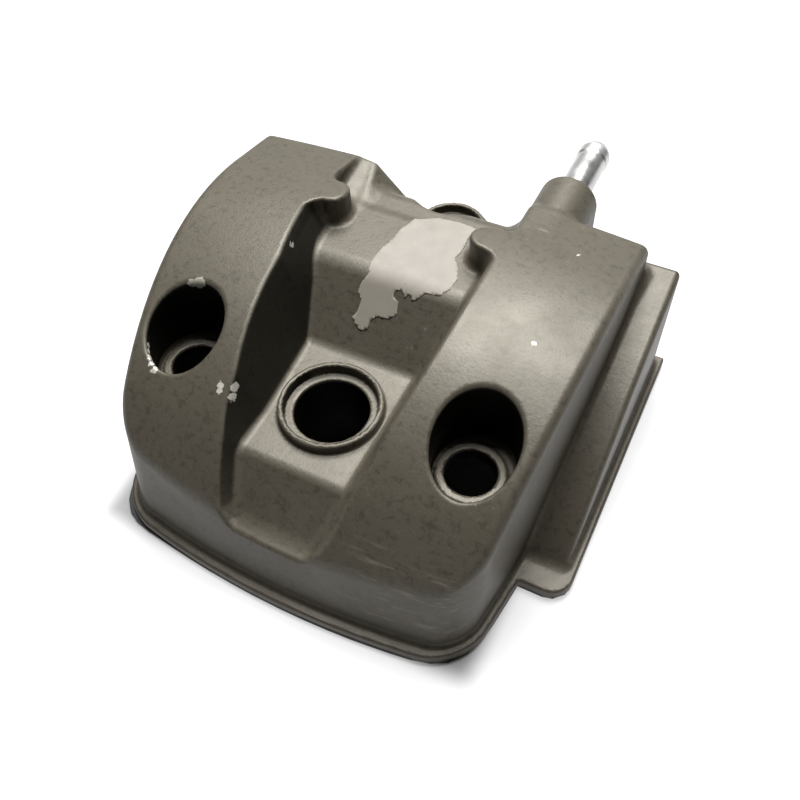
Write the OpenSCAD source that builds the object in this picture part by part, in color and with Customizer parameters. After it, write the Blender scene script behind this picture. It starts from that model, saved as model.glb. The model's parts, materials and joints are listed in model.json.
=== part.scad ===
// Cylinder head cover of a single-cylinder engine, with its breather, gasket and inner pieces.
// Frame: +X towards the chain-tunnel extension, +Y towards the breather spigot, +Z up.
// The origin is on the axis of the front plug well, at the plane the gasket stands on.

/* [Body] */
// Lean of the front wall, in degrees
front_lean = 10; // [8:0.5:11]
// Back wall of the body
back_y = 101; // [100.5:0.1:102]
// Radius of the arched roof over both shoulders
roof_r = 125; // [124:0.5:126]
// Fall of the roof towards the back, where it is no longer arched
roof_fall = 0.19; // [0.18:0.005:0.2]
// Wall thickness of the casting
wall = 3.6; // [3.2:0.1:3.8]

/* [Channel] */
// Level of the plug platform
platform_z = 46.7; // [46:0.1:47.5]
// Level of the plateau behind the platform
plateau_z = 70; // [69:0.1:70.5]
// Level of the ledge at the front end of the channel
ledge_z = 28.5; // [27:0.1:30]
// Half width of the channel at the ledge
ledge_half = 14.7; // [14:0.1:16]
// Lean of the channel's side walls, sideways per unit of height
side_lean = 0.385; // [0.36:0.005:0.4]

/* [Plug wells] */
// Radius of the front plug bore
front_bore_r = 13.9; // [13.5:0.1:14.2]
// Outer radius of the front well's raised ring
front_ring_r = 19.3; // [19:0.1:19.6]
// Radius of the rear plug bore
rear_bore_r = 9.8; // [9.5:0.1:10]
// Outer radius of the rear well's raised ring
rear_ring_r = 14.4; // [14.2:0.1:14.6]
// Distance between the two plug wells
well_pitch = 104; // [103.5:0.1:104.5]
// Height of the raised rings above their platforms
ring_h = 4; // [3.5:0.1:4.5]

/* [Bolt wells] */
// Distance of each bolt from the centre line
bolt_x = 56.35; // [56:0.05:56.5]
// Place of the bolts behind the front plug
bolt_y = -3.7; // [-4.5:0.1:-3]
// Radius of a bolt well's mouth
bolt_well_r = 15.4; // [15.2:0.05:15.6]
// Level of a bolt seat
seat_z = 48; // [47.5:0.1:49]
// Outer radius of a bolt seat
seat_r = 12.6; // [12.3:0.1:12.9]
// Radius of a bolt hole
bolt_hole_r = 9.2; // [9:0.1:9.4]

/* [Chain tunnel] */
// Outer face of the chain-tunnel extension
tunnel_x = 95; // [94:0.5:96]
// Front end of the extension
tunnel_front = -10; // [-11:0.5:-9]
// Back end of the extension
tunnel_back = 106.5; // [106:0.1:107]
// Radius of the extension's arched roof
tunnel_r = 163; // [162:0.5:164]

/* [Flange and gasket] */
// Thickness of the gasket below the flange
gasket_t = 1.6; // [1.4:0.1:1.8]
// Top of the flange
flange_top = 5.4; // [5:0.1:6]
// How far the flange stands out from the walls
flange_lip = 3.6; // [3.4:0.1:4]

/* [Breather] */
// Sideways place of the spigot
spigot_x = 43.8; // [43:0.1:44]
// Height of the spigot's axis
spigot_z = 64.5; // [64:0.1:65]
// Outer radius of the spigot tube
spigot_r = 6.4; // [6.2:0.1:6.5]
// Radius of the bead at the spigot's free end
spigot_bead_r = 6.8; // [6.6:0.1:7]
// Bore radius of the spigot tube
spigot_bore_r = 4.8; // [4.6:0.1:5]
// Radius of the cast boss that holds the spigot
boss_r = 11.8; // [11.4:0.1:12]
// End face of the boss
boss_y = 121.5; // [121:0.5:123]
// Free end of the spigot
spigot_end = 155; // [154:0.5:156]
// Level of the face that the baffle is screwed to
baffle_z = 50; // [49:0.5:51]

/* [Hidden] */
$fn = 96;
far = 200;

// Centre of the arched roof, and of the extension's arched roof, as [y, z]
roof_c = [51, -43.3];
tunnel_c = [115.2, -106.7];
// Outline of the flange round the body, seen from above, anticlockwise from the back
flange_outline = [
    [-88.8, 104.6], [-88.6, 80], [-87, 46], [-84.4, 18], [-81.9, -2], [-79.5, -18],
    [-77, -32], [-74.8, -41], [-72.2, -46.4], [-68.6, -50.2], [-63.6, -52.8], [-56.8, -54.4],
    [-46, -55.8], [-36, -57], [-26, -58], [-16, -58.7], [-6, -59.2], [6, -59.4], [16, -59.3],
    [26, -58.9], [35, -58.3], [43, -57.5], [50, -56.7], [57.5, -55.6], [64.4, -53.8],
    [70.4, -50.4], [74.8, -44.6], [77, -38.4], [78.6, -32], [80.4, -18], [82, -2],
    [83.6, 18], [85.2, 46], [86, 80], [86, 104.6]];
// Front wall: centre line, foot and radius of its bow, and the spare length it cuts off
front_mid = 6;
front_y = -55.7;
front_arc_r = 352;
front_spare = 3;
// Where the roof stops being arched, as [y, z]
roof_end = [80, 78.3];
tunnel_roof_end = [80, 52.64];
tunnel_rise = 0.28;
// Inner end of the extension, inside the body
tunnel_root = 56;

// Rear plug tower and its platform
tower_r = 17;
rear_platform_z = 46;
rear_foot_r = 12.2;
rear_clear_r = 15.3;

// Front plug tube, with its seal groove
tube_r = 17.4;
plug_seal_in = 16.2;
plug_seal_out = 18.2;
plug_seal_z = [1, 3];
rear_seal_out = 14.2;

// Channel floor: ends of its level and sloping stretches along y
slope_foot_y = -46.5;
platform_front = -28;
platform_end = 25;
plateau_front = 48.5;
plateau_back = 92;
plateau_drop = 13;

// Bosses beside the plateau that narrow the channel, and the stretch behind them
juts = [[-38.5, 71.5], [31, 71.5]];
jut_r = 9;
wide_from = 80;
wide_right = 35.5;
wide_left = [[-21, 66.5], [-35, 80.5]];

well_floor_z = seat_z - 2.5;
cup_wall = 3.4;

// Breather chamber: inner rectangle as [x, y] corners, rib thickness, plate and screws
chamber_lo = [33, 24];
chamber_hi = [72, 94];
rib = 3;
plate_t = 1.5;
paper_t = 0.5;
plate_z = baffle_z - paper_t - plate_t;
screw_boss_r = 4;
screw_r = 2;
screw_head_r = 3.6;
screw_head_h = 2.2;
screw_depth = 9;
screw_xs = [36, 69];
screw_ys = [27, 59, 91];
SCREWS = [for (y = screw_ys) for (x = screw_xs) [x, y]];
gas_inlet = [52, 33];
gas_inlet_r = 5;
drain = [52, 88];
drain_r = 3;
drain_len = 22;
mesh_lo = [42, 40];
mesh_hi = [63, 82];
mesh_h = 9;

paint = [0.30, 0.28, 0.23];
bare = [0.74, 0.74, 0.73];
rubber = [0.05, 0.05, 0.05];

function unit(v) = v / norm(v);
function outward(a, b) = unit([b[1] - a[1], a[0] - b[0]]);

// An anticlockwise outline grown by g at right angles to its sides
function grown(pts, g) =
    let (n = len(pts))
    [for (i = [0 : n - 1])
        let (before = outward(pts[(i + n - 1) % n], pts[i]), after = outward(pts[i], pts[(i + 1) % n]))
        pts[i] + g * (before + after) / (1 + before * after)];

// Outline of the body's walls seen from above, grown by g, with its front moved ahead
function body_outline(g, ahead = 0) =
    [for (p = grown(flange_outline, g - flange_lip)) [p[0], p[1] - (p[1] < -40 ? ahead : 0)]];

// Channel floor in the y-z plane, lowered by g at right angles
function channel_floor(g) =
    let (front_a = atan2(platform_z - ledge_z, platform_front - slope_foot_y))
    let (rear_a = atan2(plateau_z - platform_z, plateau_front - platform_end))
    let (kf = g * tan(front_a / 2), kr = g * tan(rear_a / 2))
    [[-far, ledge_z - g], [slope_foot_y + kf, ledge_z - g],
     [platform_front + kf, platform_z - g], [platform_end + kr, platform_z - g],
     [plateau_front + kr, plateau_z - g], [plateau_back - g * 0.41, plateau_z - g],
     [plateau_back + plateau_drop - g * 0.41, plateau_z - plateau_drop - g],
     [far, plateau_z - plateau_drop - g]];

function half_at(z) = ledge_half + side_lean * (z - ledge_z);

// A y-z shape pushed out along x from x0 to x1
module along_x(x0, x1) {
    translate([x0, 0, 0]) rotate([90, 0, 90]) linear_extrude(x1 - x0) children();
}

// An x-z shape pushed out along y from y0 to y1
module along_y(y0, y1) {
    translate([0, y1, 0]) rotate([90, 0, 0]) linear_extrude(y1 - y0) children();
}

// Everything below an arched roof that runs straight on behind the point p, at a slope
module roof(c, r, x0, x1, p, slope) {
    drop = 60;
    translate([x0, c[0], c[1]]) rotate([0, 90, 0]) cylinder(r = r, h = x1 - x0, $fn = 180);
    along_x(x0, x1) polygon([
        [p[0] - 6, p[1] - drop], [p[0] + 60, p[1] - drop],
        [p[0] + 60, p[1] + 60 * slope], [p[0] - 6, p[1] - 6 * slope]]);
}

module body_block(g) {
    intersection() {
        translate([0, 0, g < 0 ? -1 : gasket_t])
            linear_extrude(far) polygon(body_outline(g, front_spare));
        roof(roof_c, roof_r + g, -far, far,
            roof_end + [0, g * sqrt(1 + roof_fall * roof_fall)], -roof_fall);
        translate([front_mid, front_y, gasket_t]) rotate([-front_lean, 0, 0])
            translate([0, front_arc_r, -60]) cylinder(r = front_arc_r + g, h = far, $fn = 180);
    }
}

module tunnel_plan(g) {
    polygon(grown([
        [tunnel_root, tunnel_front], [tunnel_x - 5, tunnel_front],
        [tunnel_x - 2.6, tunnel_front + 0.6], [tunnel_x - 0.6, tunnel_front + 2.6],
        [tunnel_x, tunnel_front + 5], [tunnel_x, tunnel_back], [tunnel_root, tunnel_back]], g));
}

module tunnel_block(g) {
    intersection() {
        translate([0, 0, g < 0 ? -1 : gasket_t]) linear_extrude(far) tunnel_plan(g);
        roof(tunnel_c, tunnel_r + g, 0, far,
            tunnel_roof_end + [0, g * sqrt(1 + tunnel_rise * tunnel_rise)], tunnel_rise);
    }
}

module base_plan(g) {
    polygon(body_outline(g));
    tunnel_plan(g);
    translate([0, well_pitch]) circle(r = tower_r + g);
}

// Air between the two shoulders, grown by g
module channel_air(g) {
    top = 120;
    foot = ledge_z - 20;
    intersection() {
        along_x(-far, far) polygon(concat(channel_floor(g), [[far, top], [-far, top]]));
        union() {
            difference() {
                along_y(-far, wide_from + 5) polygon([
                    [-half_at(foot) - g, foot], [half_at(foot) + g, foot],
                    [half_at(top) + g, top], [-half_at(top) - g, top]]);
                for (p = juts)
                    translate([p[0], p[1], 0]) cylinder(r = jut_r - g, h = top + 1);
            }
            along_y(wide_from - g, far) polygon([
                [wide_left[0][0] - g, foot], [wide_right + g, foot],
                [wide_right + g, top],
                [wide_left[1][0] - g, top], wide_left[1] - [g, 0], wide_left[0] - [g, 0]]);
        }
    }
    translate([0, well_pitch, rear_platform_z - g])
        cylinder(r = rear_clear_r + g, h = top - rear_platform_z);
}

module at_bolts() {
    for (s = [-1, 1]) translate([s * bolt_x, bolt_y, 0]) children();
}

module bolt_cups() {
    intersection() {
        at_bolts() translate([0, 0, well_floor_z - cup_wall])
            cylinder(r = bolt_well_r + cup_wall, h = far);
        body_block(0);
    }
}

// Ribs that hang from the roof of the right shoulder and enclose the breather chamber
module chamber_ribs() {
    intersection() {
        body_block(0);
        union() {
            difference() {
                translate([chamber_lo[0] - rib, chamber_lo[1] - rib, baffle_z])
                    cube([chamber_hi[0] - chamber_lo[0] + 2 * rib,
                          chamber_hi[1] - chamber_lo[1] + 2 * rib, far]);
                translate([chamber_lo[0], chamber_lo[1], baffle_z - 1])
                    cube([chamber_hi[0] - chamber_lo[0], chamber_hi[1] - chamber_lo[1], far]);
            }
            for (p = SCREWS) translate([p[0], p[1], baffle_z])
                cylinder(r = screw_boss_r, h = screw_depth + 3);
        }
    }
}

// Everything hollow inside the cover
module cavity() {
    difference() {
        union() {
            body_block(-wall);
            tunnel_block(-wall);
        }
        channel_air(wall);
        bolt_cups();
        chamber_ribs();
        cylinder(r = tube_r, h = platform_z);
        translate([0, well_pitch, 0]) cylinder(r = tower_r, h = rear_platform_z);
    }
}

module breather_axis(y) {
    translate([spigot_x, y, spigot_z]) rotate([-90, 0, 0]) children();
}

// Round boss for the spigot, with a straight-sided skirt under it
module breather_boss() {
    breather_axis(back_y - 12) cylinder(r = boss_r, h = boss_y - back_y + 12);
    along_x(spigot_x - boss_r, spigot_x + boss_r) polygon([
        [back_y - 10, spigot_z - 34], [back_y - 0.5, spigot_z - 34],
        [boss_y, spigot_z - 18], [boss_y, spigot_z], [back_y - 10, spigot_z]]);
}

module ring_wall(r_out, r_in, z, h) {
    translate([0, 0, z]) difference() {
        cylinder(r = r_out, h = h);
        translate([0, 0, -1]) cylinder(r = r_in, h = h + 2);
    }
}

module cover_casting() {
    ledge = platform_z - 0.3;
    color(paint) difference() {
        union() {
            difference() {
                union() {
                    body_block(0);
                    tunnel_block(0);
                    translate([0, 0, gasket_t]) linear_extrude(flange_top - gasket_t)
                        base_plan(flange_lip);
                    breather_boss();
                }
                channel_air(0);
                at_bolts() translate([0, 0, well_floor_z]) cylinder(r = bolt_well_r, h = far);
                cavity();
            }
            cylinder(r = tube_r, h = platform_z);
            cylinder(r = front_ring_r, h = platform_z + ring_h);
            translate([0, well_pitch, gasket_t])
                cylinder(r = tower_r, h = rear_platform_z - gasket_t);
            translate([0, well_pitch, 0]) cylinder(r = rear_foot_r, h = rear_platform_z);
            translate([0, well_pitch, 0])
                ring_wall(rear_ring_r, rear_ring_r - 2.1, rear_platform_z - 1, ring_h + 1);
            at_bolts() ring_wall(seat_r, bolt_hole_r, well_floor_z - 1, seat_z - well_floor_z + 1);
        }
        // the front ring stands only above the platform
        ring_wall(front_ring_r + 2, tube_r, -1, platform_z - wall + 1);
        translate([0, 0, -1]) cylinder(r = front_bore_r, h = far);
        translate([0, 0, ledge]) cylinder(r = front_ring_r - 2.1, h = far);
        translate([0, well_pitch, -1]) cylinder(r = rear_bore_r, h = far);
        at_bolts() translate([0, 0, well_floor_z - cup_wall - 1])
            cylinder(r = bolt_hole_r, h = 30);
        ring_wall(tube_r + 1, plug_seal_in, plug_seal_z[0], plug_seal_z[1] - plug_seal_z[0]);
        // spigot seat, and the passage from the chamber
        breather_axis(boss_y - 14) cylinder(r = spigot_r, h = 20);
        breather_axis(chamber_hi[1] - 4) cylinder(r = spigot_bore_r, h = 20);
        // groove for the gasket's bead
        translate([0, 0, gasket_t - 1]) linear_extrude(2.7) difference() {
            base_plan(1.6);
            base_plan(-0.4);
        }
        for (p = SCREWS) translate([p[0], p[1], baffle_z - 1])
            cylinder(r = screw_r, h = screw_depth + 1);
    }
}

module breather_spigot() {
    y0 = boss_y - 14;
    len = spigot_end - y0;
    collar = 14;
    color(bare) breather_axis(y0) rotate_extrude() polygon([
        [spigot_bore_r, 0], [spigot_r, 0], [spigot_r, collar],
        [spigot_r + 0.8, collar], [spigot_r + 0.8, collar + 1.4], [spigot_r, collar + 2],
        [spigot_r, len - 8], [spigot_bead_r, len - 7], [spigot_bead_r, len - 3],
        [spigot_r - 0.8, len], [spigot_bore_r, len]]);
}

module perimeter_gasket() {
    color(rubber) union() {
        linear_extrude(gasket_t) difference() {
            base_plan(flange_lip);
            base_plan(-2.4);
        }
        translate([0, 0, gasket_t - 0.2]) linear_extrude(1.6) difference() {
            base_plan(1.5);
            base_plan(-0.3);
        }
    }
}

module front_plug_seal() {
    color(rubber)
        ring_wall(plug_seal_out, plug_seal_in, plug_seal_z[0], plug_seal_z[1] - plug_seal_z[0]);
}

module rear_plug_seal() {
    color(rubber) translate([0, well_pitch, 0])
        ring_wall(rear_seal_out, rear_foot_r, 0, gasket_t);
}

module plate(z, t, window) {
    difference() {
        translate([chamber_lo[0] - rib, chamber_lo[1] - rib, z])
            cube([chamber_hi[0] - chamber_lo[0] + 2 * rib,
                  chamber_hi[1] - chamber_lo[1] + 2 * rib - 0.4, t]);
        for (p = SCREWS) translate([p[0], p[1], z - 1]) cylinder(r = screw_r + 0.2, h = t + 2);
        if (window) {
            translate([chamber_lo[0] + 7.5, chamber_lo[1] + 1, z - 1])
                cube([chamber_hi[0] - chamber_lo[0] - 15,
                      chamber_hi[1] - chamber_lo[1] - 2, t + 2]);
        }
        if (!window) {
            translate([gas_inlet[0], gas_inlet[1], z - 1]) cylinder(r = gas_inlet_r, h = t + 2);
            translate([drain[0], drain[1], z - 1]) cylinder(r = drain_r, h = t + 2);
        }
    }
}

module breather_baffle() {
    color(bare) plate(plate_z, plate_t, false);
}

module baffle_gasket() {
    color([0.45, 0.40, 0.32]) plate(baffle_z - paper_t, paper_t, true);
}

module oil_separator_mesh() {
    color([0.55, 0.55, 0.53]) translate([mesh_lo[0], mesh_lo[1], baffle_z - paper_t])
        cube([mesh_hi[0] - mesh_lo[0], mesh_hi[1] - mesh_lo[1], mesh_h]);
}

module oil_drain_tube() {
    color(bare) translate([drain[0], drain[1], 0])
        ring_wall(drain_r, drain_r - 0.8, plate_z + plate_t - drain_len, drain_len);
}

module baffle_screw(p) {
    color(bare) translate([p[0], p[1], plate_z - screw_head_h]) union() {
        difference() {
            cylinder(r = screw_head_r, h = screw_head_h);
            translate([0, 0, -1]) cylinder(r = 1.6, h = 2.4, $fn = 6);
        }
        cylinder(r = screw_r, h = screw_head_h + plate_t + paper_t + screw_depth - 2);
    }
}

cover_casting();
breather_spigot();
perimeter_gasket();
front_plug_seal();
rear_plug_seal();
breather_baffle();
baffle_gasket();
oil_separator_mesh();
oil_drain_tube();
baffle_screw(SCREWS[0]);  // baffle_screw_1
baffle_screw(SCREWS[1]);  // baffle_screw_2
baffle_screw(SCREWS[2]);  // baffle_screw_3
baffle_screw(SCREWS[3]);  // baffle_screw_4
baffle_screw(SCREWS[4]);  // baffle_screw_5
baffle_screw(SCREWS[5]);  // baffle_screw_6
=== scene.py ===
import json
import math
import bpy
import numpy as np
from mathutils import Matrix, Vector
from mathutils.geometry import delaunay_2d_cdt


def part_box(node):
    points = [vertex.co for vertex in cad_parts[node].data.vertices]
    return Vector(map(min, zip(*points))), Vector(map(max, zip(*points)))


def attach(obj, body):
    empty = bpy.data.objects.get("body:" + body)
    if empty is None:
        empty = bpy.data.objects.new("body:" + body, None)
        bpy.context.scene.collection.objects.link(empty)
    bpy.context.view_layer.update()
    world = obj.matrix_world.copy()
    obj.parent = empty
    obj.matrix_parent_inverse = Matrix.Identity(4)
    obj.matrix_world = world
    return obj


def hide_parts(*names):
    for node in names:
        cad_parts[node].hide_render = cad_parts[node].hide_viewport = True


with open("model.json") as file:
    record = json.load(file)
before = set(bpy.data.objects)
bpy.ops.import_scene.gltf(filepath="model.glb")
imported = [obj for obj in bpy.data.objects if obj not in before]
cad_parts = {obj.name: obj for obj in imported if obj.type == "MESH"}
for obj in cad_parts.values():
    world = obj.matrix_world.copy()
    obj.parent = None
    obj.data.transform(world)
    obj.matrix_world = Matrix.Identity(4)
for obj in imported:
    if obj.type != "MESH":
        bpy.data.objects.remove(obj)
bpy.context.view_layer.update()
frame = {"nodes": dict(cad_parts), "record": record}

MM = 0.001
record = frame["record"]
mounts = {m["name"]: m for m in record["mounts"]}


def mount_mm(name):
    return [v / MM for v in mounts[name]["pos_m"]]


# ---------------------------------------------------------------- sizes, in mm
BOLT_X = mounts["cover_bolts"]["dims"]["spacing_x_mm"] / 2
BOLT_Y = mount_mm("cover_bolts")[1]
BOLT_HOLE_R = mounts["cover_bolts"]["dims"]["hole_r_mm"]
FRONT_BORE_R = mounts["front_plug_bore"]["dims"]["r_mm"]
REAR_BORE_R = mounts["rear_plug_bore"]["dims"]["r_mm"]
REAR_Y = mount_mm("rear_plug_bore")[1]
SPIGOT_X, _, SPIGOT_Z = mount_mm("breather_spigot")
SPIGOT_R = 6.4
# Lowest z of the CAD casting. It is 0, at the feet of the plug tubes. The flange starts from it
# too, so here the flange overlaps the gasket, where the CAD flange starts on top of it.
FOOT_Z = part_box("cover_casting")[0][2] / MM

WALL = 3.6
BACK_Y = 101.0
RIGHT_HALF, RIGHT_BOW_FROM, RIGHT_BOW = 82.4, 80.0, 0.00059
LEFT_HALF, LEFT_BOW_FROM, LEFT_BOW = 85.2, 100.0, 0.000705
FRONT_MID, FRONT_Y, FRONT_ARC_R, CORNER_R = 6.0, -55.7, 352.0, 12.0
FRONT_LEAN = math.radians(10)
ROOF = (51.0, -43.3, 125.0)
ROOF_END, ROOF_FALL, ROOF_CROWN, CROWN_RISE = (80.0, 78.3), -0.19, 0.0006, 1.9
LEDGE_Z, PLATFORM_Z, PLATEAU_Z, REAR_PLATFORM_Z = 28.5, 46.7, 70.0, 46.0
LEDGE_HALF, SIDE_LEAN = 14.7, 0.385
SLOPE_FOOT_Y, PLATFORM_FRONT, PLATFORM_END, PLATEAU_FRONT = -46.5, -28.0, 25.0, 49.0
PLATEAU_BACK, WIDE_FROM, WIDE_LEFT, WIDE_RIGHT = 97.5, 80.0, 40.0, 35.5
NOSES = ((-35.8, 71.8, 6.5, 1.6, 0.9), (29.5, 71.3, 7.0, 0.0, 0.3))
FRONT_RING_R, REAR_RING_R, RING_H, RING_STEP = 19.3, 14.4, 4.0, 2.1
TOWER_R, REAR_CLEAR_R, TUBE_R = 17.0, 15.3, 17.4
# each bolt well's mouth: shift from the bolt in x and y, squeeze in x, radius
MOUTHS = ((0.4, 0.65, 1.07, 15.5), (1.4, -0.5, 1.15, 16.6))
SEAT_R, SEAT_Z, WELL_FLOOR_Z = 12.6, 48.0, 45.5
TUNNEL_X, TUNNEL_FRONT, TUNNEL_BACK = 95.2, -10.0, 106.5
TUNNEL_ROOF = (115.2, -106.7, 163.0)
TUNNEL_END, TUNNEL_RISE = (80.0, 52.64), 0.28
FLANGE_TOP, FLANGE_LIP = 5.4, 3.6
BOSS_R, BOSS_Y, SPIGOT_BORE_R = 11.8, 121.5, 4.8
CHAMBER = (33.0, 72.0, 24.0, 94.0)
CHAMBER_RIB, BAFFLE_Z = 3.0, 50.0
SCREWS = [(x, y) for y in (27, 59, 91) for x in (36, 69)]
GRID_STEP, GRID_PAD = 1.0, 2.0
MAX_TRIANGLES = 190000

# The photograph's view: angles in degrees, place in m, half frame and focal length in pixels
VIEW_AZIMUTH, VIEW_ELEVATION, VIEW_ROLL = 29.5, 53.1, -3.6
VIEW_PLACE = (0.1127, -0.1487, 0.2961)
HALF_FRAME, FOCAL = 400, 860


# ---------------------------------------------------------------- distance fields
# A field is a signed distance in mm, negative inside. Each joint of two fields takes
# the radius of the fillet or of the rounded edge that the casting has there.
def both(a, b, r=0.0):
    """Where a and b are both solid, with its edge rounded to radius r."""
    if np.isscalar(r) and r <= 0:
        return np.maximum(a, b)
    return np.minimum(np.maximum(a, b), -r) + np.hypot(np.maximum(a + r, 0), np.maximum(b + r, 0))


def either(a, b, r=0.0):
    """Where a or b is solid, with a fillet of radius r between them."""
    return -both(-a, -b, r)


def without(a, b, r=0.0):
    """Where a is solid and b isn't, with its edge rounded to radius r."""
    return both(a, -b, r)


def disc(x, y, cx, cy, r):
    return np.hypot(x - cx, y - cy) - r


def below(y, z, start, rise):
    """Below the line that goes through start at the given slope."""
    return (z - start[1] - rise * (y - start[0])) / math.hypot(1, rise)


def arch(y, z, circle, end, rise):
    """Below an arched roof that runs straight on behind a point."""
    return np.minimum(disc(y, z, *circle), np.maximum(below(y, z, end, rise), end[0] - 6 - y))


def body_plan(x, y, z, lean):
    """Bowed side walls and front wall; the front leans back, the left side inwards."""
    right = RIGHT_HALF - RIGHT_BOW * np.maximum(RIGHT_BOW_FROM - y, 0) ** 2
    left = LEFT_HALF - LEFT_BOW * np.maximum(LEFT_BOW_FROM - y, 0) ** 2
    tilt = 0.35e-5 * np.maximum(78 - y, 0) ** 2 * np.maximum(z, 0) * (lean > 0)
    side = np.maximum(x - right, -x - left + tilt)
    radius = FRONT_ARC_R - math.tan(lean) * np.maximum(z - FOOT_Z, 0)
    front = disc(x, y, FRONT_MID, FRONT_Y + FRONT_ARC_R, 0) - radius
    return both(side, front * math.cos(lean), CORNER_R)


def body(x, y, z):
    crown = ROOF_CROWN * x * x - CROWN_RISE - 0.012 * np.maximum(-x, 0)
    roof = arch(y, z + crown, ROOF, ROOF_END, ROOF_FALL)
    rounding = 1.4 + 2.1 * np.clip((y + 40) / 14, 0, 1)
    arched = both(body_plan(x, y, z, FRONT_LEAN), roof, rounding)
    return both(arched, y - BACK_Y, 2.5)


def channel_floor(x, y, z):
    """The floor between the shoulders: ledge, slope, platform, slope, plateau, ramp."""
    rise = (PLATFORM_Z - LEDGE_Z) / (PLATFORM_FRONT - SLOPE_FOOT_Y)
    front = below(y, z, (SLOPE_FOOT_Y, LEDGE_Z), rise)
    rise = (PLATEAU_Z - PLATFORM_Z) / (PLATEAU_FRONT - PLATFORM_END)
    rear = below(y, z, (PLATFORM_END, PLATFORM_Z), rise)
    plateau = both(rear, z - PLATEAU_Z, 3.0)
    steps = both(front, either(z - PLATFORM_Z, plateau, 1.6), 1.6)
    floor = both(either(z - LEDGE_Z, steps, 4.0), y - PLATEAU_BACK, 9.0)
    floor = either(floor, both(z - REAR_PLATFORM_Z, 60 - y), 2.0)
    ramp = both((x + 27 + z - PLATEAU_Z) / 1.414, below(y, z, (WIDE_FROM, PLATEAU_Z), 0.25), 2.0)
    return either(floor, both(ramp, WIDE_FROM - 4 - y), 2.0)


def channel(x, y, z):
    """The air between the two shoulders."""
    floor = channel_floor(x, y, z)
    foot = np.clip(LEDGE_Z + (y - SLOPE_FOOT_Y), LEDGE_Z, PLATFORM_Z)
    flare = 0.012 * np.maximum(-12 - y, 0) * np.maximum(z - foot, 0)
    bay = 0.17 * np.clip(y - 32, 0, 28) * np.clip((z - 64) / 14, 0, 1)
    bay = bay + 3 * np.clip((y + 10) / 35, 0, 1) * np.clip((80 - z) / 33, 0, 1)
    half = LEDGE_HALF + SIDE_LEAN * (z - LEDGE_Z) + flare + bay * (x < 0)
    air = both((np.abs(x) - half) * 0.93, -floor, 2.0)
    wide = both(np.maximum(x - WIDE_RIGHT, -WIDE_LEFT - x), -floor, 3.0)
    air = either(air, both(wide, WIDE_FROM - y, 3.0), 3.0)
    for cx, cy, r, ahead, spread in NOSES:
        out = (x - cx) * np.sign(cx)
        reach = r + (ahead + spread * np.clip(out, 0, 5.5)) * np.clip((cy - y) / r, 0, 1)
        air = without(air, np.hypot(np.maximum(-out, 0), y - cy) - reach, 3.0)
    notch = both(disc(x, y, 0, REAR_Y, REAR_CLEAR_R), REAR_PLATFORM_Z - z, 1.0)
    return either(air, notch, 1.0)


def tunnel(x, y, z):
    """The lower extension at the side, with its arched roof."""
    plan = both(both(x - TUNNEL_X, TUNNEL_FRONT - y, 5.0), y - TUNNEL_BACK, 2.0)
    arched = both(plan, arch(y, z, TUNNEL_ROOF, TUNNEL_END, TUNNEL_RISE), 2.4)
    return both(arched, 56 - x)


def base_plan(x, y, z):
    """Outline of the walls at the foot, seen from above; its back corners are sharp, as the gasket's."""
    main = both(body_plan(x, y, z, 0.0), y - BACK_Y)
    side = both(both(both(x - TUNNEL_X, TUNNEL_FRONT - y, 5.0), y - TUNNEL_BACK), 56 - x)
    return either(either(main, side, 4.5), disc(x, y, 0, REAR_Y, TOWER_R), 5.0)


def breather_boss(x, y, z):
    """Boss for the spigot: round above, straight-sided below."""
    tube = np.hypot(x - SPIGOT_X, np.maximum(z - SPIGOT_Z, 0)) - BOSS_R
    tube = both(tube, y - BOSS_Y, 1.0)
    under = -below(y, z, (BOSS_Y, SPIGOT_Z - 18), 0.76)
    return both(both(tube, under, 2.0), 88 - y)


def outside(x, y, z):
    """The casting's outer form, not yet hollow, open-ended below."""
    form = without(body(x, y, z), channel(x, y, z), 1.4)
    form = either(form, tunnel(x, y, z), 3.0 + 2 * np.clip((y - 85) / 15, 0, 1))
    tower = both(disc(x, y, 0, REAR_Y, TOWER_R), z - REAR_PLATFORM_Z, 1.2)
    form = either(form, tower, 1.2)
    mid = (FLANGE_TOP + FOOT_Z) / 2
    rim = both(base_plan(x, y, z) - FLANGE_LIP, np.abs(z - mid) - (FLANGE_TOP - FOOT_Z) / 2, 1.0)
    form = either(form, rim, 2.2)
    fairing = 2.5 + 3 * np.clip((42 - x) / 8, 0, 1)
    form = either(form, breather_boss(x, y, z), fairing)
    mouth = 100.0
    for centre, (dx, dy, squeeze, r) in zip((-BOLT_X, BOLT_X), MOUTHS):
        mouth = np.minimum(mouth, np.hypot((x - centre - dx) * squeeze, y - BOLT_Y - dy) - r)
    form = without(form, both(mouth, WELL_FLOOR_Z - z, 2.0), 2.0)
    seat = both(disc(np.abs(x), y, BOLT_X, BOLT_Y, SEAT_R), np.abs(z - SEAT_Z + 3) - 3, 0.9)
    form = either(form, seat, 0.6)
    for cy, r, floor in ((0, FRONT_RING_R, PLATFORM_Z), (REAR_Y, REAR_RING_R, REAR_PLATFORM_Z)):
        ring = both(disc(x, y, 0, cy, r), np.abs(z - floor) - RING_H, 0.8)
        form = either(form, ring, 1.0)
    return form


def chamber_ribs(x, y, z):
    """Ribs and screw bosses that hang from the roof round the breather chamber."""
    x0, x1, y0, y1 = CHAMBER
    inner = both(np.abs(x - (x0 + x1) / 2) - (x1 - x0) / 2, np.abs(y - (y0 + y1) / 2) - (y1 - y0) / 2)
    ribs = without(inner - CHAMBER_RIB, inner)
    for sx, sy in SCREWS:
        ribs = either(ribs, disc(x, y, sx, sy, 4.0), 1.0)
    return both(ribs, BAFFLE_Z - z, 0.5)


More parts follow.
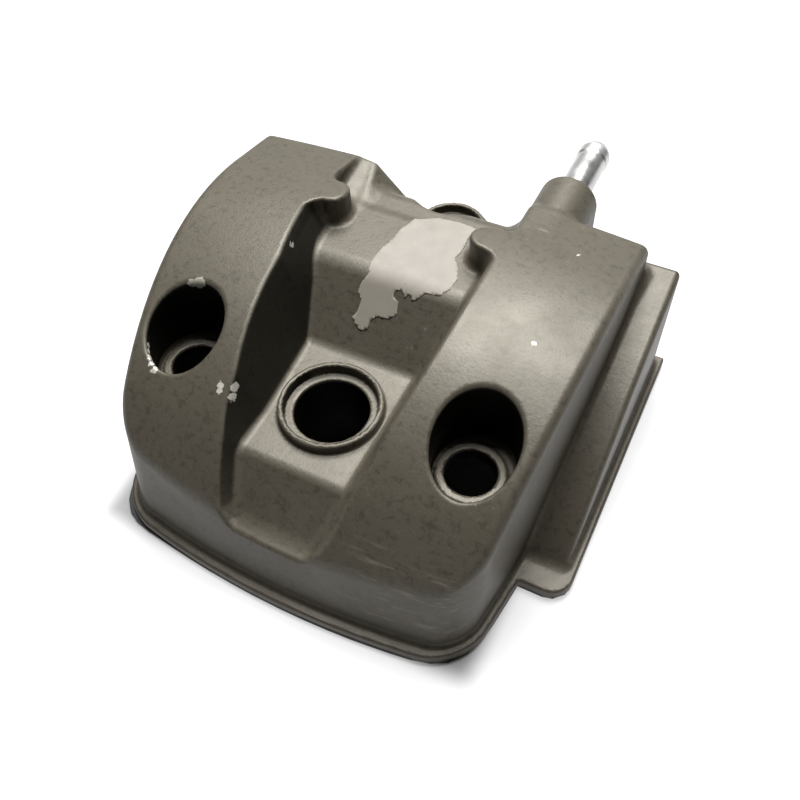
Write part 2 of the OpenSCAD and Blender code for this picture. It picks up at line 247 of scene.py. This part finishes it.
def casting(x, y, z):
    form = outside(x, y, z)
    hollow = without(form + WALL, chamber_ribs(x, y, z), 1.0)
    hollow = without(hollow, disc(x, y, 0, 0, TUBE_R), 1.5)
    hollow = without(hollow, disc(x, y, 0, REAR_Y, TOWER_R), 1.5)
    hollow = without(hollow, breather_boss(x, y, z), 0.8)
    form = both(without(form, hollow, 0.8), FOOT_Z - z, 0.5)
    foot = both(both(disc(x, y, 0, 0, TUBE_R), -z, 0.6), z - PLATFORM_Z + 2)
    rear_foot = both(both(disc(x, y, 0, REAR_Y, 12.2), -z, 0.5), z - REAR_PLATFORM_Z + 2)
    form = np.minimum(form, np.minimum(foot, rear_foot))
    wells = ((0, FRONT_BORE_R, FRONT_RING_R, PLATFORM_Z - 0.3),
             (REAR_Y, REAR_BORE_R, REAR_RING_R, REAR_PLATFORM_Z))
    for cy, bore, ring, ledge in wells:
        form = without(form, disc(x, y, 0, cy, bore), 0.6)
        form = without(form, both(disc(x, y, 0, cy, ring - RING_STEP), ledge - z, 0.5), 0.6)
    form = without(form, disc(np.abs(x), y, BOLT_X, BOLT_Y, BOLT_HOLE_R), 0.6)
    seat = both(disc(x, z, SPIGOT_X, SPIGOT_Z, SPIGOT_R), BOSS_Y - 14 - y)
    passage = both(disc(x, z, SPIGOT_X, SPIGOT_Z, SPIGOT_BORE_R), 90 - y)
    form = without(form, either(seat, passage), 0.3)
    for sx, sy in SCREWS:
        form = without(form, both(disc(x, y, sx, sy, 2.0), z - BAFFLE_Z - 9), 0.2)
    return form


# ---------------------------------------------------------------- meshing a field
def surface_net(field, low, high, step):
    """Mesh of a field's zero level: one vertex a crossed cell, one quad a crossed edge."""
    counts = [int(math.ceil((b - a) / step)) + 1 for a, b in zip(low, high)]
    gx, gy, gz = [np.float32(low[i]) + np.float32(step) * np.arange(counts[i], dtype=np.float32)
                  for i in range(3)]
    values = np.empty(counts, np.float32)
    for i in range(0, counts[0], 24):
        part = np.meshgrid(gx[i:i + 24], gy, gz, indexing="ij")
        values[i:i + 24] = field(*part)
    inside = values < 0
    corners = [(a, b, c) for a in (0, 1) for b in (0, 1) for c in (0, 1)]

    def cut(array, corner):
        return array[tuple(slice(c, n - 1 + c) for c, n in zip(corner, counts))]

    total = sum(cut(inside, c).astype(np.int8) for c in corners)
    cells = np.argwhere((total > 0) & (total < 8))
    number = np.full([n - 1 for n in counts], -1, np.int64)
    number[tuple(cells.T)] = np.arange(len(cells))
    centre = np.zeros((len(cells), 3))
    hits = np.zeros(len(cells))
    for a in corners:
        for axis in range(3):
            if a[axis]:
                continue
            b = tuple(c + (i == axis) for i, c in enumerate(a))
            va = values[tuple((cells + a).T)].astype(float)
            vb = values[tuple((cells + b).T)].astype(float)
            crossed = (va < 0) != (vb < 0)
            along = np.where(crossed, va / np.where(crossed, va - vb, 1), 0)
            point = np.array(a, float) + np.outer(along, np.array(b) - np.array(a))
            centre[crossed] += point[crossed]
            hits[crossed] += 1
    verts = (cells + centre / hits[:, None]) * step + np.array(low)
    quads = []
    for axis in range(3):
        u, v = [k for k in range(3) if k != axis]
        first = inside[tuple(slice(0, -1) if k == axis else slice(1, -1) for k in range(3))]
        second = inside[tuple(slice(1, None) if k == axis else slice(1, -1) for k in range(3))]
        edges = np.argwhere(first != second)
        edges[:, u] += 1
        edges[:, v] += 1
        enters = inside[tuple(edges.T)]
        ring = []
        for du, dv in ((-1, -1), (0, -1), (0, 0), (-1, 0)):
            cell = edges.copy()
            cell[:, u] += du
            cell[:, v] += dv
            ring.append(number[tuple(cell.T)])
        ring = np.stack(ring, 1)
        flip = enters if axis == 1 else ~enters
        ring[flip] = ring[flip][:, ::-1]
        quads.append(ring)
    return verts, np.concatenate(quads)


def slopes(field, points, h=0.05):
    """Gradient of a field at each point."""
    out = []
    for axis in range(3):
        shift = np.zeros(3)
        shift[axis] = h
        ahead = field(*(points + shift).T)
        behind = field(*(points - shift).T)
        out.append((ahead - behind) / (2 * h))
    return np.stack(out, 1)


def settle(field, points, rounds=3, reach=0.5):
    """Moves points onto the zero level."""
    for _ in range(rounds):
        grad = slopes(field, points)
        move = field(*points.T)[:, None] * grad / np.maximum((grad ** 2).sum(1), 0.2)[:, None]
        size = np.linalg.norm(move, axis=1)[:, None]
        points = points - move * np.minimum(1, reach / np.maximum(size, 1e-9))
    return points


def mesh_object(name, verts_mm, faces):
    mesh = bpy.data.meshes.new(name)
    mesh.from_pydata((np.asarray(verts_mm) * MM).tolist(), [], faces)
    mesh.validate()
    obj = bpy.data.objects.new(name, mesh)
    bpy.context.scene.collection.objects.link(obj)
    return obj


def apply_modifiers(obj):
    graph = bpy.context.evaluated_depsgraph_get()
    mesh = bpy.data.meshes.new_from_object(obj.evaluated_get(graph))
    obj.modifiers.clear()
    obj.data = mesh
    return mesh


def shade_smooth(obj):
    obj.data.polygons.foreach_set("use_smooth", [True] * len(obj.data.polygons))


# ---------------------------------------------------------------- materials
def new_material(name):
    mat = bpy.data.materials.new(name)
    mat.use_nodes = True
    nodes = mat.node_tree.nodes
    nodes.clear()
    out = nodes.new("ShaderNodeOutputMaterial")
    bsdf = nodes.new("ShaderNodeBsdfPrincipled")
    mat.node_tree.links.new(bsdf.outputs[0], out.inputs[0])
    return mat, bsdf


class Graph:
    """Short names for building a node tree."""

    def __init__(self, mat):
        self.tree = mat.node_tree
        self.coords = self.add("ShaderNodeTexCoord").outputs["Object"]

    def add(self, kind, **props):
        node = self.tree.nodes.new(kind)
        for key, value in props.items():
            setattr(node, key, value)
        return node

    def link(self, a, b):
        self.tree.links.new(a, b)

    def noise(self, scale, detail=4.0, rough=0.5):
        node = self.add("ShaderNodeTexNoise")
        node.inputs["Scale"].default_value = scale
        node.inputs["Detail"].default_value = detail
        node.inputs["Roughness"].default_value = rough
        self.link(self.coords, node.inputs["Vector"])
        return node.outputs["Fac"]

    def ramp(self, fac, stops):
        node = self.add("ShaderNodeValToRGB")
        ramp = node.color_ramp
        while len(ramp.elements) < len(stops):
            ramp.elements.new(0.5)
        for element, (pos, value) in zip(ramp.elements, stops):
            element.position = pos
            element.color = (value, value, value, 1) if isinstance(value, (int, float)) else (*value, 1)
        self.link(fac, node.inputs["Fac"])
        return node.outputs["Color"]

    def mix(self, fac, a, b):
        node = self.add("ShaderNodeMix", data_type="RGBA")
        for socket, value in ((node.inputs["Factor"], fac), (node.inputs[6], a), (node.inputs[7], b)):
            if isinstance(value, bpy.types.NodeSocket):
                self.link(value, socket)
            else:
                socket.default_value = value if socket.type != "RGBA" else (*value, 1)
        return node.outputs[2]

    def math(self, op, a, b=0.0):
        node = self.add("ShaderNodeMath", operation=op)
        for socket, value in zip(node.inputs, (a, b)):
            if isinstance(value, bpy.types.NodeSocket):
                self.link(value, socket)
            else:
                socket.default_value = value
        return node.outputs[0]

    def step(self, value, zero_at, one_at):
        """A smooth step from 0 to 1 between two values."""
        node = self.add("ShaderNodeMapRange", interpolation_type="SMOOTHSTEP")
        self.link(value, node.inputs["Value"])
        node.inputs["From Min"].default_value = min(zero_at, one_at)
        node.inputs["From Max"].default_value = max(zero_at, one_at)
        node.inputs["To Min"].default_value = 1.0 if one_at < zero_at else 0.0
        node.inputs["To Max"].default_value = 0.0 if one_at < zero_at else 1.0
        return node.outputs["Result"]

    def axes_mm(self):
        """The object coordinates x, y and z in mm."""
        split = self.add("ShaderNodeSeparateXYZ")
        self.link(self.coords, split.inputs[0])
        return [self.math("DIVIDE", out, MM) for out in split.outputs]

    def spots(self, places, ragged=1.2):
        """1 inside any of the balls (x, y, z, radius) in mm, with ragged edges."""
        uneven = self.math("MULTIPLY", self.math("SUBTRACT", self.noise(700, 3), 0.5), ragged * 2)
        total = None
        for x, y, z, r in places:
            node = self.add("ShaderNodeVectorMath", operation="DISTANCE")
            self.link(self.coords, node.inputs[0])
            node.inputs[1].default_value = (x * MM, y * MM, z * MM)
            away = self.math("ADD", self.math("DIVIDE", node.outputs["Value"], MM), uneven)
            one = self.step(away, r, r - 0.5)
            total = one if total is None else self.math("MAXIMUM", total, one)
        return total

    def bump(self, height, strength, distance, normal=None):
        node = self.add("ShaderNodeBump")
        node.inputs["Strength"].default_value = strength
        node.inputs["Distance"].default_value = distance
        self.link(height, node.inputs["Height"])
        if normal is not None:
            self.link(normal, node.inputs["Normal"])
        return node.outputs["Normal"]


# Places where the paint is chipped off, as (x, y, z, radius) in mm
CHIPS = [
    (-37.2, 40.0, 78.6, 2.2), (-32.6, -16.6, 62.8, 1.5), (-32.2, -18.6, 61.9, 1.2),
    (-27.4, -15.4, 62.8, 2.4), (-26.6, -18.4, 60.8, 2.4), (-68.4, -9.0, 62.6, 1.1),
    (-67.6, -11.8, 61.8, 1.3), (-66.4, -14.0, 61.4, 1.3), (-64.6, -16.2, 60.8, 1.3),
    (-62.6, -18.0, 60.2, 1.3), (-60.4, -19.6, 59.8, 1.5),
    (41.5, 64.5, 80.6, 0.9), (61.0, 79.0, 78.4, 0.9), (62.2, 32.0, 79.6, 0.9),
    (77.6, -1.0, 51.0, 1.0), (80.0, 40.0, 76.0, 0.8)]


def well_shade(g):
    """Painted shade, as a mask: dull black on the walls of the bolt wells above their seats, in the bolt
    holes below them and in the plug bores.
    """
    x, y, z = g.axes_mm()

    def reach(cx, cy, squeeze, r):
        dx = g.math("MULTIPLY", g.math("SUBTRACT", x, cx), squeeze)
        dy = g.math("SUBTRACT", y, cy)
        away = g.math("SQRT", g.math("ADD", g.math("MULTIPLY", dx, dx), g.math("MULTIPLY", dy, dy)))
        return g.step(away, r + 0.6, r + 0.1)

    wells = g.math("MAXIMUM", *(reach(centre + dx, BOLT_Y + dy, squeeze, r)
                                for centre, (dx, dy, squeeze, r) in zip((-BOLT_X, BOLT_X), MOUTHS)))
    wells = g.math("MULTIPLY", wells, g.step(z, SEAT_Z + 0.2, SEAT_Z + 0.8))
    under = g.math("MAXIMUM", reach(-BOLT_X, BOLT_Y, 1.0, BOLT_HOLE_R),
                   reach(BOLT_X, BOLT_Y, 1.0, BOLT_HOLE_R))
    under = g.math("MULTIPLY", under, g.step(z, SEAT_Z - 0.6, SEAT_Z - 1.4))
    front = g.math("MULTIPLY", reach(0, 0, 1.0, FRONT_BORE_R), g.step(z, PLATFORM_Z - 1.2, PLATFORM_Z - 2.2))
    rear = g.math("MULTIPLY", reach(0, REAR_Y, 1.0, REAR_BORE_R),
                  g.step(z, REAR_PLATFORM_Z - 1, REAR_PLATFORM_Z - 2))
    return g.math("MAXIMUM", g.math("MAXIMUM", wells, under), g.math("MAXIMUM", front, rear))


def paint_material():
    mat, bsdf = new_material("olive_paint")
    g = Graph(mat)
    cloud = g.noise(18, 4, 0.6)
    grain = g.noise(900, 2, 0.5)
    base = g.mix(cloud, (0.046, 0.040, 0.029), (0.062, 0.054, 0.040))
    cast = g.noise(380, 6, 0.75)
    base = g.mix(g.math("MULTIPLY", g.step(cast, 0.50, 0.36), 0.55), base, (0.016, 0.014, 0.010))
    base = g.mix(g.math("MULTIPLY", g.step(cast, 0.62, 0.74), 0.30), base, (0.24, 0.22, 0.18))
    # painted shade: the wells' walls and the channel's left wall, which faces away from the light, are
    # darkened and given less shine
    facing = g.add("ShaderNodeSeparateXYZ")
    g.link(g.add("ShaderNodeNewGeometry").outputs["Normal"], facing.inputs[0])
    x, y, z = g.axes_mm()
    # mask of the channel's left wall, where shade is painted into the colour
    wall = g.math("MULTIPLY", g.step(facing.outputs[0], 0.55, 0.85), g.step(x, -13, -15))
    wall = g.math("MULTIPLY", wall, g.math("MULTIPLY", g.step(x, -46, -44), g.step(z, 33, 36)))
    wall = g.math("MULTIPLY", wall, g.step(y, 64, 60))
    painted_shade = g.math("MAXIMUM", well_shade(g), g.math("MULTIPLY", wall, 0.85))
    base = g.mix(painted_shade, base, (0.004, 0.004, 0.003))
    shine = g.math("SUBTRACT", 0.55, g.math("MULTIPLY", painted_shade, 0.5))
    rough = g.ramp(g.noise(60, 5, 0.6), [(0.3, 0.44), (0.7, 0.54)])
    # scuffs low on the right of the front, as fine slanting streaks
    streaks = g.add("ShaderNodeTexNoise")
    streaks.inputs["Scale"].default_value = 60
    streaks.inputs["Detail"].default_value = 6
    stretch = g.add("ShaderNodeMapping")
    stretch.inputs["Rotation"].default_value = (0.5, 0.3, 0.4)
    stretch.inputs["Scale"].default_value = (1.0, 4.0, 9.0)
    g.link(g.coords, stretch.inputs["Vector"])
    g.link(stretch.outputs[0], streaks.inputs["Vector"])
    zone = g.math("MULTIPLY", g.step(x, 22, 40), g.math("MULTIPLY", g.step(y, -36, -44), g.step(z, 8, 16)))
    scuff = g.math("MULTIPLY", g.step(streaks.outputs["Fac"], 0.54, 0.70), zone)
    base = g.mix(g.math("MULTIPLY", scuff, 0.35), base, (0.20, 0.185, 0.155))
    # pale residue, then bare metal where the paint is chipped off
    residue = g.spots([(-58.8, 12.2, 75.0, 2.6), (-61.5, 11.4, 74.5, 1.8)], 1.0)
    base = g.mix(g.math("MULTIPLY", residue, 0.6), base, (0.42, 0.40, 0.34))
    chips = g.spots(CHIPS)
    base = g.mix(chips, base, (0.55, 0.53, 0.47))
    g.link(base, bsdf.inputs["Base Color"])
    g.link(rough, bsdf.inputs["Roughness"])
    g.link(g.math("MULTIPLY", chips, 0.6), bsdf.inputs["Metallic"])
    g.link(shine, bsdf.inputs["Specular IOR Level"])
    bsdf.inputs["Specular Tint"].default_value = (1.0, 0.95, 0.84, 1)
    g.link(g.bump(cast, 0.22, 0.0004, g.bump(grain, 0.18, 0.0003)), bsdf.inputs["Normal"])
    return mat


def metal_material(name, color, rough, grain_scale=400, strength=0.2):
    mat, bsdf = new_material(name)
    g = Graph(mat)
    tone = g.ramp(g.noise(grain_scale / 6, 5, 0.6), [(0.3, tuple(c * 0.8 for c in color)), (0.7, color)])
    g.link(tone, bsdf.inputs["Base Color"])
    g.link(g.ramp(g.noise(grain_scale / 3, 4), [(0.3, rough * 0.8), (0.7, rough * 1.25)]),
           bsdf.inputs["Roughness"])
    bsdf.inputs["Metallic"].default_value = 1.0
    g.link(g.bump(g.noise(grain_scale, 3), strength, 0.0002), bsdf.inputs["Normal"])
    return mat


def rubber_material(name, color):
    mat, bsdf = new_material(name)
    g = Graph(mat)
    tone = g.mix(g.noise(120, 4), color, tuple(c * 1.8 + 0.01 for c in color))
    g.link(tone, bsdf.inputs["Base Color"])
    bsdf.inputs["Roughness"].default_value = 0.7
    g.link(g.bump(g.noise(700, 3), 0.25, 0.0002), bsdf.inputs["Normal"])
    return mat


# ---------------------------------------------------------------- pieces
def build_casting():
    low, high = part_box("cover_casting")
    low = [v / MM - GRID_PAD for v in low]
    low[2] = -GRID_PAD
    high = [v / MM + GRID_PAD for v in high]
    verts, quads = surface_net(casting, low, high, GRID_STEP)
    verts = settle(casting, verts)
    obj = mesh_object("cover_casting_skin", verts, quads.tolist())
    thin = obj.modifiers.new("thin", "DECIMATE")
    thin.ratio = min(1.0, MAX_TRIANGLES / (2 * len(quads)))
    mesh = apply_modifiers(obj)
    points = np.empty(len(mesh.vertices) * 3)
    mesh.vertices.foreach_get("co", points)
    normals = slopes(casting, points.reshape(-1, 3) / MM, 0.15)
    normals /= np.maximum(np.linalg.norm(normals, axis=1), 1e-6)[:, None]
    shade_smooth(obj)
    mesh.normals_split_custom_set_from_vertices(normals.tolist())
    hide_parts("cover_casting")
    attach(obj, "root")
    obj.data.materials.append(paint_material())
    return obj


# Torn remnant of a plain label on the plateau and the slope before it, seen from above
LABEL = [
    (-5.5, 81), (-6, 77), (-7.5, 72.5), (-8, 66), (-9.5, 59.5), (-10, 52), (-8.5, 47.5),
    (-10, 44.5), (-10.5, 42), (-8, 40), (-8.5, 37), (-9.5, 35), (-7, 33), (-4.5, 32.5),
    (-2.5, 33.5), (-2, 36), (0, 37.5), (2.5, 37.5), (5, 38), (7, 40), (6, 43), (3.5, 44),
    (4, 45.5), (6, 46), (8, 44.5), (9.5, 46), (11, 44.5), (13, 45), (15, 47.5), (17.5, 48),
    (20.5, 48), (23, 51.5), (23.5, 57), (21, 63), (18, 67), (19, 71), (18.5, 76), (18, 81),
    (19.5, 85.5), (12, 86.5), (3, 85.5)]


def label_material():
    mat, bsdf = new_material("label_film")
    g = Graph(mat)
    _, y, _ = g.axes_mm()
    film = g.mix(g.noise(140, 5, 0.6), (0.18, 0.165, 0.145), (0.26, 0.24, 0.21))
    thin = g.math("MULTIPLY", g.step(y, 51, 44), 0.75)
    film = g.mix(thin, film, (0.165, 0.15, 0.12))
    flecks = g.step(g.noise(420, 4, 0.7), 0.66, 0.74)
    film = g.mix(g.math("MULTIPLY", flecks, 0.7), film, (0.12, 0.11, 0.085))
    g.link(film, bsdf.inputs["Base Color"])
    bsdf.inputs["Roughness"].default_value = 0.55
    bsdf.inputs["Specular IOR Level"].default_value = 0.2
    g.link(g.bump(g.noise(260, 4), 0.3, 0.0002), bsdf.inputs["Normal"])
    return mat


def build_label():
    rng = np.random.default_rng(7)
    edge = []
    for a, b in zip(LABEL, LABEL[1:] + LABEL[:1]):
        parts = max(1, int(math.dist(a, b) / 0.7))
        for k in range(parts):
            t = k / parts
            jog = rng.normal(0, 0.12, 2)
            edge.append((a[0] + t * (b[0] - a[0]) + jog[0], a[1] + t * (b[1] - a[1]) + jog[1]))
    count = len(edge)
    inner = [(x, y) for x in np.arange(-10, 24, 1.0) for y in np.arange(32, 87, 1.0)]
    loop = [(i, (i + 1) % count) for i in range(count)]
    points, _, faces, *_ = delaunay_2d_cdt([Vector(v) for v in edge + inner], loop, [], 1, 1e-5)
    xy = np.array([tuple(v) for v in points])
    low, high = np.full(len(xy), 40.0), np.full(len(xy), 84.0)
    for _ in range(24):
        middle = (low + high) / 2
        solid = outside(xy[:, 0], xy[:, 1], middle) < 0
        low, high = np.where(solid, middle, low), np.where(solid, high, middle)
    obj = mesh_object("label_remnant", np.column_stack([xy, high + 0.04]), [tuple(f) for f in faces])
    skin = obj.modifiers.new("thickness", "SOLIDIFY")
    skin.thickness = 0.14 * MM
    skin.offset = 1.0
    apply_modifiers(obj)
    shade_smooth(obj)
    obj.data.materials.append(label_material())
    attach(obj, "root")
    return obj


build_casting()
build_label()

seal_rubber = rubber_material("seal_rubber", (0.012, 0.011, 0.01))
baffle_plate = metal_material("baffle_plate", (0.62, 0.62, 0.6), 0.4)
zinc_screw = metal_material("zinc_screw", (0.6, 0.58, 0.5), 0.3)
finishes = {
    "breather_spigot": metal_material("bare_aluminium", (0.6, 0.6, 0.59), 0.36),
    "perimeter_gasket": rubber_material("gasket_rubber", (0.01, 0.01, 0.01)),
    "front_plug_seal": seal_rubber,
    "rear_plug_seal": seal_rubber,
    "breather_baffle": baffle_plate,
    "baffle_gasket": rubber_material("gasket_paper", (0.3, 0.25, 0.17)),
    "oil_separator_mesh": metal_material("wire_mesh", (0.4, 0.4, 0.38), 0.5),
    "oil_drain_tube": baffle_plate,
}
for i in range(1, 7):
    finishes["baffle_screw_%d" % i] = zinc_screw
for node, mat in finishes.items():
    obj = frame["nodes"][node]
    obj.data.materials.clear()
    obj.data.materials.append(mat)


# ---------------------------------------------------------------- floor, lights, camera
def build_floor():
    size = 3.0
    mesh = bpy.data.meshes.new("floor")
    half = size / 2
    mesh.from_pydata([(-half, -half, 0), (half, -half, 0), (half, half, 0), (-half, half, 0)], [],
                     [(0, 1, 2, 3)])
    floor = bpy.data.objects.new("floor", mesh)
    bpy.context.scene.collection.objects.link(floor)
    mat, bsdf = new_material("pale_floor")
    bsdf.inputs["Base Color"].default_value = (0.32, 0.32, 0.32, 1)
    bsdf.inputs["Roughness"].default_value = 0.8
    # a faint glow lifts the shadow round the part, but not the floor inside it
    g = Graph(mat)
    x, y, _ = g.axes_mm()
    within = g.math("MULTIPLY", g.step(g.math("ABSOLUTE", x), 84, 74),
                    g.step(g.math("ABSOLUTE", g.math("SUBTRACT", y, 24)), 84, 74))
    bsdf.inputs["Emission Color"].default_value = (1, 1, 1, 1)
    g.link(g.math("MULTIPLY", g.math("SUBTRACT", 1.0, within), 0.55), bsdf.inputs["Emission Strength"])
    mesh.materials.append(mat)


def area_light(name, place, aim, size, power):
    data = bpy.data.lights.new(name, "AREA")
    data.shape = "RECTANGLE"
    data.size, data.size_y = size
    data.energy = power
    light = bpy.data.objects.new(name, data)
    light.location = place
    light.rotation_euler = (Vector(aim) - Vector(place)).to_track_quat("-Z", "Y").to_euler()
    bpy.context.scene.collection.objects.link(light)


def build_camera():
    azimuth, elevation, roll = (math.radians(a) for a in (VIEW_AZIMUTH, VIEW_ELEVATION, VIEW_ROLL))
    place = Vector(VIEW_PLACE)
    ahead = Vector((-math.sin(azimuth) * math.cos(elevation), math.cos(azimuth) * math.cos(elevation),
                    -math.sin(elevation)))
    right = ahead.cross(Vector((0, 0, 1))).normalized()
    up = right.cross(ahead)
    right, up = (math.cos(roll) * right + math.sin(roll) * up,
                 math.cos(roll) * up - math.sin(roll) * right)
    data = bpy.data.cameras.new("camera")
    data.sensor_fit = "HORIZONTAL"
    data.angle = 2 * math.atan(HALF_FRAME / FOCAL)
    data.clip_start, data.clip_end = 0.01, 20
    camera = bpy.data.objects.new("camera", data)
    turn = Matrix((right, up, -ahead)).transposed()
    camera.matrix_world = Matrix.Translation(place) @ turn.to_4x4()
    bpy.context.scene.collection.objects.link(camera)
    bpy.context.scene.camera = camera


build_floor()
area_light("key_overhead", (-0.08, 0.38, 1.0), (0.0, 0.02, 0.04), (0.6, 0.65), 32)
area_light("backdrop", (-0.3, 1.6, 0.45), (0.0, 0.0, 0.05), (3.0, 0.9), 5)
world = bpy.data.worlds.new("world")
world.use_nodes = True
world.node_tree.nodes["Background"].inputs[0].default_value = (1, 1, 1, 1)
world.node_tree.nodes["Background"].inputs[1].default_value = 0.05
bpy.context.scene.world = world
bpy.context.scene.view_settings.view_transform = "Standard"
build_camera()
